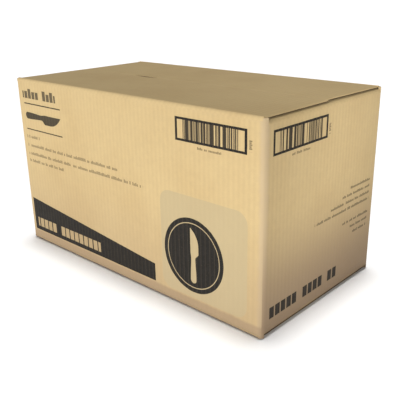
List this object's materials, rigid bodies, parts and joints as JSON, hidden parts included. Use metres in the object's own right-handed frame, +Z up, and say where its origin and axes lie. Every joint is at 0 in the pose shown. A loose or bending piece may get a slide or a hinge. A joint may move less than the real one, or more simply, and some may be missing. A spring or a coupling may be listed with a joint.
{
  "type": "packed shipping carton",
  "caption": "Closed corrugated kraft shipping carton with hinged top flaps, packed with columns of individually wrapped table knives.",
  "frame": {"origin": "under the middle of the carton's base, on the surface it stands on", "axes": "+X along the length to the right end, +Y from the printed front to the back, +Z up"},
  "size_m": [0.428, 0.229, 0.237],
  "materials": {
    "kraft_board": "matte",
    "hot_melt_glue": "gloss",
    "stacked_packets": "satin",
    "wrapped_knife": "gloss"
  },
  "bodies": {
    "carton": {"front_panel": "kraft_board", "right_end_panel": "kraft_board", "back_panel": "kraft_board", "left_end_panel": "kraft_board", "bottom_front_flap": "kraft_board", "bottom_right_end_flap": "kraft_board", "bottom_back_flap": "kraft_board", "bottom_left_end_flap": "kraft_board", "joint_tab": "kraft_board", "joint_glue": "hot_melt_glue", "bottom_left_end_glue_1": "hot_melt_glue", "bottom_left_end_glue_2": "hot_melt_glue", "bottom_left_end_glue_3": "hot_melt_glue", "bottom_left_end_glue_4": "hot_melt_glue", "bottom_right_end_glue_1": "hot_melt_glue", "bottom_right_end_glue_2": "hot_melt_glue", "bottom_right_end_glue_3": "hot_melt_glue", "bottom_right_end_glue_4": "hot_melt_glue", "stack_left_1": "stacked_packets", "stack_left_2": "stacked_packets", "stack_left_3": "stacked_packets", "stack_left_4": "stacked_packets", "stack_left_5": "stacked_packets", "stack_left_6": "stacked_packets", "stack_left_7": "stacked_packets", "stack_right_1": "stacked_packets", "stack_right_2": "stacked_packets", "stack_right_3": "stacked_packets", "stack_right_4": "stacked_packets", "stack_right_5": "stacked_packets", "stack_right_6": "stacked_packets", "stack_right_7": "stacked_packets", "packet_left_1": "wrapped_knife", "packet_left_2": "wrapped_knife", "packet_left_3": "wrapped_knife", "packet_left_4": "wrapped_knife", "packet_left_5": "wrapped_knife", "packet_left_6": "wrapped_knife", "packet_left_7": "wrapped_knife", "packet_right_1": "wrapped_knife", "packet_right_2": "wrapped_knife", "packet_right_3": "wrapped_knife", "packet_right_4": "wrapped_knife", "packet_right_5": "wrapped_knife", "packet_right_6": "wrapped_knife", "packet_right_7": "wrapped_knife"},
    "front_flap": {"top_front_flap": "kraft_board"},
    "back_flap": {"top_back_flap": "kraft_board"},
    "left_end_flap": {"top_left_end_flap": "kraft_board", "top_left_end_glue_1": "hot_melt_glue", "top_left_end_glue_2": "hot_melt_glue", "top_left_end_glue_3": "hot_melt_glue", "top_left_end_glue_4": "hot_melt_glue"},
    "right_end_flap": {"top_right_end_flap": "kraft_board", "top_right_end_glue_1": "hot_melt_glue", "top_right_end_glue_2": "hot_melt_glue", "top_right_end_glue_3": "hot_melt_glue", "top_right_end_glue_4": "hot_melt_glue"}
  },
  "joints": [
    {"name": "front_flap_fold", "type": "hinge", "parent": "carton", "child": "front_flap", "pos_m": [0, -0.1145, 0.237], "axis": [1, 0, 0], "range_deg": [0, 250]},
    {"name": "back_flap_fold", "type": "hinge", "parent": "carton", "child": "back_flap", "pos_m": [0, 0.1145, 0.237], "axis": [-1, 0, 0], "range_deg": [0, 250]},
    {"name": "left_end_flap_fold", "type": "hinge", "parent": "carton", "child": "left_end_flap", "pos_m": [-0.214, 0, 0.2331], "axis": [0, -1, 0], "range_deg": [-6, 0]},
    {"name": "right_end_flap_fold", "type": "hinge", "parent": "carton", "child": "right_end_flap", "pos_m": [0.214, 0, 0.2331], "axis": [0, 1, 0], "range_deg": [-6, 0]}
  ]
}
